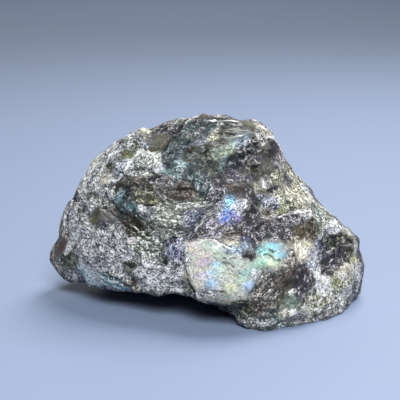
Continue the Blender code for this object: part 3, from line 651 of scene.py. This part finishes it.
class GrainMap:
    """Which grain each point of the stone belongs to, and that grain's own directions."""

    def __init__(self, surface, places, normals):
        self.middles, self.axes, self.sizes, self.looks = [], [], [], []
        self.add_seen_grains(surface)
        self.add_hidden_grains(places, normals)
        self.find_owners(places)

    def add(self, middle, axes, size, look):
        self.middles.append(middle)
        self.axes.append(axes)
        self.sizes.append(np.array([*size, max(size)]) * MM)
        self.looks.append(look)

    def add_seen_grains(self, surface):
        for seen_at, length, width, lean, look, *steps in GRAINS.values():
            middle = place_seen_at(seen_at, surface)
            self.add(middle, picture_axes(lean), (length, width), grain_tone_and_painted_light(LOOKS[look], *steps))

    def add_hidden_grains(self, places, normals):
        """Grains at random places, at least a spacing apart, where the photograph doesn't show the stone."""
        chance = np.random.default_rng(HIDDEN_SEED)
        looks = list(COMMON_LOOKS)
        weights = np.array(list(COMMON_LOOKS.values()), float)
        faces_camera = normals @ np.array(FORWARD) < 0
        room = np.where(faces_camera, SEEN_GRAIN_ROOM, HIDDEN_GRAIN_SPACING)
        free = np.ones(len(places), bool)
        for middle in self.middles:
            free &= np.linalg.norm(places - middle, axis=1) > room
        for index in chance.permutation(np.flatnonzero(free)):
            if not free[index]:
                continue
            free &= np.linalg.norm(places - places[index], axis=1) > HIDDEN_GRAIN_SPACING
            along = np.cross(normals[index], chance.normal(size=3))
            along /= np.linalg.norm(along)
            axes = np.array([along, np.cross(normals[index], along), normals[index]])
            size = np.sort(chance.uniform(*HIDDEN_GRAIN_SIZE, 2))[::-1]
            self.add(places[index], axes, size, LOOKS[chance.choice(looks, p=weights / weights.sum())])

    def find_owners(self, places):
        """Each place's nearby grains, and the shares in which they blend there. Their borders wander."""
        wandered = places + wander(places, *GRAIN_WANDER) + wander(places, *FINE_GRAIN_WANDER)
        middles = np.array(self.middles)
        tree = KDTree(len(middles))
        for index, middle in enumerate(middles):
            tree.insert(middle, index)
        tree.balance()
        self.near = np.array([[found[1] for found in tree.find_n(place, NEIGHBOURS)] for place in wandered])
        away = np.empty(self.near.shape)
        axes, sizes = np.array(self.axes), np.array(self.sizes)
        for rank, grain in enumerate(self.near.T):
            local = np.einsum("nij,nj->ni", axes[grain], wandered - middles[grain])
            away[:, rank] = np.linalg.norm(local / sizes[grain], axis=1)
        self.owner = self.near[np.arange(len(places)), away.argmin(axis=1)]
        self.shares = np.exp(-BORDER_SHARPNESS * (away - away.min(axis=1)[:, None]))
        self.shares /= self.shares.sum(axis=1)[:, None]

    def blended(self, values_of):
        """values_of(look), blended over the grain borders."""
        values = np.array([values_of(look) for look in self.looks])
        return np.einsum("nk,nkc->nc", self.shares, values[self.near])

    def per_place(self, value_of):
        """value_of(look) for every place, changing at once at a grain's border."""
        return np.array([value_of(look) for look in self.looks])[self.owner]

    def fleck_coordinates(self, places):
        """Coordinates in which each grain's flecks are round, and of the same size in all grains."""
        axes = np.array(self.axes)[self.owner]
        local = np.einsum("nij,nj->ni", axes, places) / MM
        local[:, 0] /= self.per_place(lambda look: look.stretch)
        local /= self.per_place(lambda look: look.chip)[:, None]
        offsets = np.random.default_rng(HIDDEN_SEED).uniform(0, 50, (len(self.middles), 3))
        return local + offsets[self.owner]


def trace_lines(surface, places):
    """How deep each place lies in a crack, in millimetres, and its shade: painted shade in the cracks, pale
    stone and painted highlight on the edges.
    """
    wandered = places + wander(places, *LINE_WANDER)
    depths, shades = np.zeros((2, len(places)))
    for width, depth, shade, *path in LINES.values():
        corners = np.array(path, float)
        pixels = []
        for start, end in zip(corners, corners[1:]):
            steps = max(1, round(float(np.linalg.norm(end - start)) / LINE_STEP))
            pixels.extend(start + (end - start) * np.arange(steps)[:, None] / steps)
        pixels.append(corners[-1])
        points = np.array([place_seen_at(pixel, surface) for pixel in pixels])
        reach = width * MM
        low, high = points.min(axis=0) - 2 * reach, points.max(axis=0) + 2 * reach
        near = np.flatnonzero(((places > low) & (places < high)).all(axis=1))
        away = np.full(len(near), np.inf)
        for point in points:
            away = np.minimum(away, np.linalg.norm(wandered[near] - point, axis=1))
        share = 1 - smooth_step(LINE_CORE * reach, reach, away)
        depths[near] += share * depth
        stronger = np.abs(share * shade) > np.abs(shades[near])
        shades[near[stronger]] = (share * shade)[stronger]
    return depths, shades


def picture_axes(lean):
    """A grain's length, width and depth directions, for a length that leans so in the picture."""
    angle = math.radians(lean)
    along = np.array(RIGHT) * math.cos(angle) + np.array(UP) * math.sin(angle)
    return np.array([along, np.cross(FORWARD, along), FORWARD])


def chip_heights(coordinates, size):
    """Broken chips: random cells, each a flat facet with its own tilt and height, from about -1 to 1.

    Also gives each point its chip's random tone.
    """
    heights, tones = np.empty((2, len(coordinates)))
    for index, place in enumerate(coordinates):
        place = Vector(place) / size
        middle = noise.voronoi(place)[1][0]
        tilt = noise.cell_vector(middle * TILT_KEY) - Vector((0.5, 0.5, 0.5))
        tone = noise.cell(middle * TONE_KEY)
        heights[index] = tilt.dot(place - middle) * CHIP_TILT + tone - 0.5
        tones[index] = tone
    return np.clip(heights, -1, 1), tones


def roughen(stone, grains, places, normals, coordinates, depths):
    """Pushes the broken relief out of the surface and cuts the cracks. Returns the larger chips' tones."""
    size, greatest = SWELLS
    relief = np.array([noise.noise(Vector(place) / size) for place in coordinates]) * greatest
    chip_tones = []
    for size, greatest in CHIPS:
        heights, tones = chip_heights(coordinates, size)
        relief += heights * greatest
        chip_tones.append(tones)
    relief = (relief - RELIEF_SINK) * grains.blended(lambda look: (look.relief,))[:, 0] - depths
    looks_down = smooth_step(0, 0.5, -normals[:, 2])
    relief *= smooth_step(*BASE_FADE, places[:, 2]) * (1 - UNDERSIDE_LOSS * looks_down)
    moved = places + normals * (relief * MM)[:, None]
    low, high = (np.array(corner) for corner in cad_box)
    stone.data.vertices.foreach_set("co", np.clip(moved, low, high).astype(np.float32).ravel())
    stone.data.update()
    return chip_tones[:2]


def thin_out(stone):
    """Collapses the mesh to its triangle limit, which lines its edges up with the chips' edges."""
    stone.data.calc_loop_triangles()
    thin = stone.modifiers.new("thin_out", "DECIMATE")
    thin.ratio = min(1, MOST_TRIANGLES / len(stone.data.loop_triangles))
    apply_modifiers(stone)
    stone.data.set_sharp_from_angle(angle=SHARP_ANGLE)


def write_attributes(data, kind, key, values_of):
    """Writes one attribute on the mesh's points for each name in values_of."""
    for name, values in values_of.items():
        data.attributes.new(name, kind, "POINT").data.foreach_set(key, values.astype(np.float32).ravel())


def painted_sheen_colours(surface, places):
    """Each point's flash colour, a painted sheen, and how strongly it shows."""
    wandered = places + wander(places, *PAINTED_SHEEN_WANDER)
    colours = np.zeros((len(places), 3))
    total = np.full(len(places), 1e-9)
    strength = np.zeros(len(places))
    for seen_at, length, width, lean, colour, greatest in PAINTED_SHEEN_SPOTS:
        away = (wandered - place_seen_at(seen_at, surface)) @ picture_axes(lean).T
        away /= np.array([length, width, max(length, width)]) * MM
        share = np.exp(-(away ** 2).sum(axis=1))
        colours += np.array(srgb(*colour)) * share[:, None]
        total += share
        strength = np.maximum(strength, share * greatest)
    return colours / total[:, None], strength


def dress(stone):
    """Gives the stone its grains, its relief and the attributes that its material reads."""
    places = read_vectors(stone.data.vertices, "co")
    normals = read_vectors(stone.data.vertex_normals, "vector")
    surface = BVHTree.FromObject(stone, bpy.context.evaluated_depsgraph_get())
    grains = GrainMap(surface, places, normals)
    coordinates = grains.fleck_coordinates(places)
    flash, painted_sheen_strength = painted_sheen_colours(surface, places)
    depths, shades = trace_lines(surface, places)
    face_tones, chip_tones = roughen(stone, grains, places, normals, coordinates, depths)
    write_attributes(stone.data, "FLOAT_COLOR", "color", {
        "dark": grains.blended(lambda look: (*srgb(*look.dark), 1)),
        "pale": grains.blended(lambda look: (*srgb(*look.pale), 1)),
        "flash": np.hstack([flash, np.ones((len(flash), 1))]),
    })
    write_attributes(stone.data, "FLOAT", "value", {
        "cover": grains.blended(lambda look: (look.cover,)),
        "web": grains.blended(lambda look: (look.web,)),
        "face_tone_and_painted_light": face_tones,
        "chip_tone_and_painted_light": chip_tones,
        "painted_sheen_strength": painted_sheen_strength,
        "line_shade": shades,
    })
    write_attributes(stone.data, "FLOAT_VECTOR", "vector", {
        "fleck_place": coordinates,
        "stone_place": places / MM,
    })
    thin_out(stone)


class NodeChain:
    """Short names for adding and linking shader nodes."""

    def __init__(self, material):
        material.use_nodes = True
        self.tree = material.node_tree
        self.shader = self.tree.nodes["Principled BSDF"]

    def link(self, source, target):
        if isinstance(source, bpy.types.NodeSocket):
            self.tree.links.new(source, target)
        else:
            target.default_value = source

    def add(self, kind, output, inputs, **settings):
        """Adds a node with these settings and inputs, and gives one of its outputs."""
        node = self.tree.nodes.new("ShaderNode" + kind)
        for name, value in settings.items():
            setattr(node, name, value)
        for name, source in inputs.items():
            self.link(source, node.inputs[name])
        return node.outputs[output]

    def attribute(self, name, output="Fac"):
        return self.add("Attribute", output, {}, attribute_name=name)

    def math(self, operation, *values):
        return self.add("Math", 0, dict(enumerate(values)), operation=operation)

    def times(self, first, second):
        return self.math("MULTIPLY", first, second)

    def times_plus(self, value, factor, offset):
        return self.math("MULTIPLY_ADD", value, factor, offset)

    def weighted(self, *parts):
        """The sum of values, each given with its weight."""
        total = 0
        for value, weight in parts:
            total = self.times_plus(value, weight, total)
        return total

    def ramp(self, value, low, high, to_low=0.0, to_high=1.0):
        """A smooth step from to_low to to_high, while the value goes from low to high."""
        limits = {"Value": value, "From Min": low, "From Max": high, "To Min": to_low, "To Max": to_high}
        return self.add("MapRange", "Result", limits, interpolation_type="SMOOTHSTEP")

    def noise(self, place, scale, detail, roughness):
        waves = {"Vector": place, "Scale": scale, "Detail": detail, "Roughness": roughness}
        return self.add("TexNoise", "Fac", waves)

    def cells(self, place, scale):
        """Random cells, each with three random values, as a colour."""
        return self.add("TexVoronoi", "Color", {"Vector": place, "Scale": scale})

    def channel(self, colour, index):
        return self.add("SeparateColor", index, {0: colour})

    def warp(self, place, scale, reach):
        """The place, moved about by noise."""
        waves = self.add("TexNoise", "Color", {"Vector": place, "Scale": scale, "Detail": 1})
        return self.add("VectorMath", 0, {0: waves, 1: (2 * reach,) * 3, 2: place}, operation="MULTIPLY_ADD")

    def edges(self, place, scale, width):
        """1 on the borders of random cells, fading to 0 over a width given in cells."""
        cells = {"Vector": place, "Scale": scale}
        away = self.add("TexVoronoi", "Distance", cells, feature="DISTANCE_TO_EDGE")
        return self.ramp(away, 0, self.math("MAXIMUM", width, 0.001), 1, 0)

    def tints(self, value):
        """One of TINTS, or white, for a random value."""
        node = self.tree.nodes.new("ShaderNodeValToRGB")
        node.color_ramp.interpolation = "CONSTANT"
        steps = node.color_ramp.elements
        steps[0].color = (1, 1, 1, 1)
        for start, tint in TINTS:
            steps.new(start).color = (*tint, 1)
        self.link(value, node.inputs[0])
        return node.outputs[0]

    def mix(self, share, first, second, blend="MIX"):
        colours = {"Factor": share, "A": first, "B": second}
        return self.add("Mix", "Result", colours, data_type="RGBA", blend_type=blend)

def stone_material():
    material = bpy.data.materials.new("broken_labradorite")
    chain = NodeChain(material)
    place = chain.attribute("fleck_place", "Vector")
    web = chain.attribute("web")

    # Ragged flecks of pale broken stuff lie on the dark crystal, in patches: partly pale stone, partly a
    # painted highlight of cleavage faces catching the light.
    grit = chain.noise(place, GRIT_SCALE, 3, 0.8)
    facet_place = chain.warp(place, 1.2, 0.45)
    facet = chain.cells(facet_place, FACET_SCALE)
    flecks = chain.cells(chain.warp(place, 2, 0.25), FLECK_SCALE)
    over = chain.weighted(
        (grit, 0.58),
        (chain.noise(place, PATCH_SCALE, 2, 0.5), 0.26),
        (chain.channel(flecks, 0), 0.34),
        (chain.channel(facet, 0), 0.10),
        # The chips' tones also set their heights, so raised chips come out paler and sunk ones darker: a
        # small painted light and shade beside random tone.
        (chain.attribute("chip_tone_and_painted_light"), 0.06),
        (chain.attribute("face_tone_and_painted_light"), 0.08),
        (chain.attribute("cover"), 0.55),
    )
    pale_share = chain.ramp(over, *PALE_FROM)
    dark = chain.mix(1, chain.attribute("dark", "Color"), chain.tints(chain.channel(facet, 2)), "MULTIPLY")
    colour = chain.mix(pale_share, dark, chain.attribute("pale", "Color"))

    # Each facet and each tiny crystal gets its own brightness: partly random tone, partly painted light and
    # shade for how it would catch the light.
    sugar = chain.cells(chain.attribute("stone_place", "Vector"), SUGAR_SCALE)
    facet_light = chain.times(chain.math("SUBTRACT", chain.channel(facet, 1), 0.5), web)
    sugar_light = chain.times_plus(chain.channel(sugar, 0), 2, -1)
    sugar_light = chain.times(sugar_light, chain.times_plus(web, 0.84, 0.2))
    # A few tiny crystals are darkened as pits: painted shade.
    pit_shade = chain.ramp(chain.channel(sugar, 2), 0.10, 0.16, chain.times_plus(web, -1, 1), 1)
    sugar_light = chain.times(chain.math("ADD", sugar_light, 1), pit_shade)
    painted_facet_light = chain.times(chain.times_plus(facet_light, 0.4, 1), sugar_light)
    colour = chain.mix(1, colour, painted_facet_light, "MULTIPLY")

    # Broken bright edges, partly pale stone and partly a painted highlight, and painted shade in the dark gap
    # between facets.
    broken = chain.noise(place, BREAK_SCALE, 2, 0.6)
    rims = chain.edges(facet_place, FACET_SCALE, chain.ramp(broken, 0.47, 0.65, 0, 0.20))
    gap_shade = chain.edges(facet_place, FACET_SCALE, chain.ramp(broken, 0.35, 0.53, 0.22, 0))
    colour = chain.mix(chain.times(gap_shade, chain.times(web, 0.9)), colour, GAP_SHADE_COLOUR)
    colour = chain.mix(chain.times(rims, chain.times(web, 0.4)), colour, RIM_PALE_AND_HIGHLIGHT_COLOUR)

    # The flashes of labradorescence are a painted sheen, the same from every side.
    flash = chain.mix(1, chain.attribute("flash", "Color"), painted_facet_light, "MULTIPLY")
    painted_sheen_share = chain.times(chain.attribute("painted_sheen_strength"), chain.ramp(grit, 0.36, 0.52, 0.85))
    colour = chain.mix(painted_sheen_share, colour, flash)

    # The named cracks get painted shade, and the named edges pale stone with a painted highlight.
    shade = chain.attribute("line_shade")
    crack = chain.times(chain.ramp(shade, -0.6, -0.1, 1, 0), chain.ramp(grit, 0.42, 0.62, 1, 0.5))
    colour = chain.mix(1, colour, chain.times_plus(crack, -0.88, 1), "MULTIPLY")
    edge = chain.times(chain.ramp(shade, 0.1, 0.5), chain.ramp(broken, 0.42, 0.58, 0.95, 0.1))
    colour = chain.mix(edge, colour, EDGE_PALE_AND_HIGHLIGHT_COLOUR)
    colour = chain.add("VectorMath", 0, {0: colour, 1: (BRIGHTEST_STONE,) * 3}, operation="MINIMUM")
    chain.link(colour, chain.shader.inputs["Base Color"])

    chain.link(chain.ramp(pale_share, 0, 1, 0.42, 0.65), chain.shader.inputs["Roughness"])
    chain.shader.inputs["Specular IOR Level"].default_value = 0.3
    chain.shader.inputs["IOR"].default_value = 1.56  # of labradorite

    height = chain.weighted((chain.channel(facet, 1), 0.7), (grit, 2.2), (chain.channel(sugar, 1), 0.35))
    bump = {"Strength": 0.7, "Distance": BUMP_HEIGHT, "Height": height}
    chain.link(chain.add("Bump", "Normal", bump), chain.shader.inputs["Normal"])
    return material


def add_floor():
    mesh = bmesh.new()
    bmesh.ops.create_grid(mesh, x_segments=1, y_segments=1, size=FLOOR_HALF_WIDTH)
    data = bpy.data.meshes.new("floor")
    mesh.to_mesh(data)
    mesh.free()
    floor = add_object("floor", data)
    material = bpy.data.materials.new("pale_floor")
    shader = NodeChain(material).shader
    shader.inputs["Base Color"].default_value = (*srgb(*FLOOR_COLOUR), 1)
    shader.inputs["Roughness"].default_value = 0.6
    data.materials.append(material)


def add_lights():
    for name, (place, size, power, aim) in LIGHTS.items():
        data = bpy.data.lights.new(name, "AREA")
        data.size = size
        data.energy = power
        light = add_object(name, data)
        light.location = place
        light.rotation_mode = "QUATERNION"
        light.rotation_quaternion = (Vector(aim) - Vector(place)).to_track_quat("-Z", "Y")
    world = bpy.data.worlds.new("soft_room")
    world.use_nodes = True
    background = world.node_tree.nodes["Background"]
    background.inputs["Color"].default_value = ROOM_COLOUR
    background.inputs["Strength"].default_value = ROOM_LIGHT
    bpy.context.scene.world = world
    bpy.context.scene.view_settings.view_transform = "Standard"


noise.seed_set(WANDER_SEED)
add_camera()
stone = fine_stone(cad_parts[NODE])
dress(stone)
stone.data.materials.clear()
stone.data.materials.append(stone_material())
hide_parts(NODE)
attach(stone, "root")
add_floor()
add_lights()
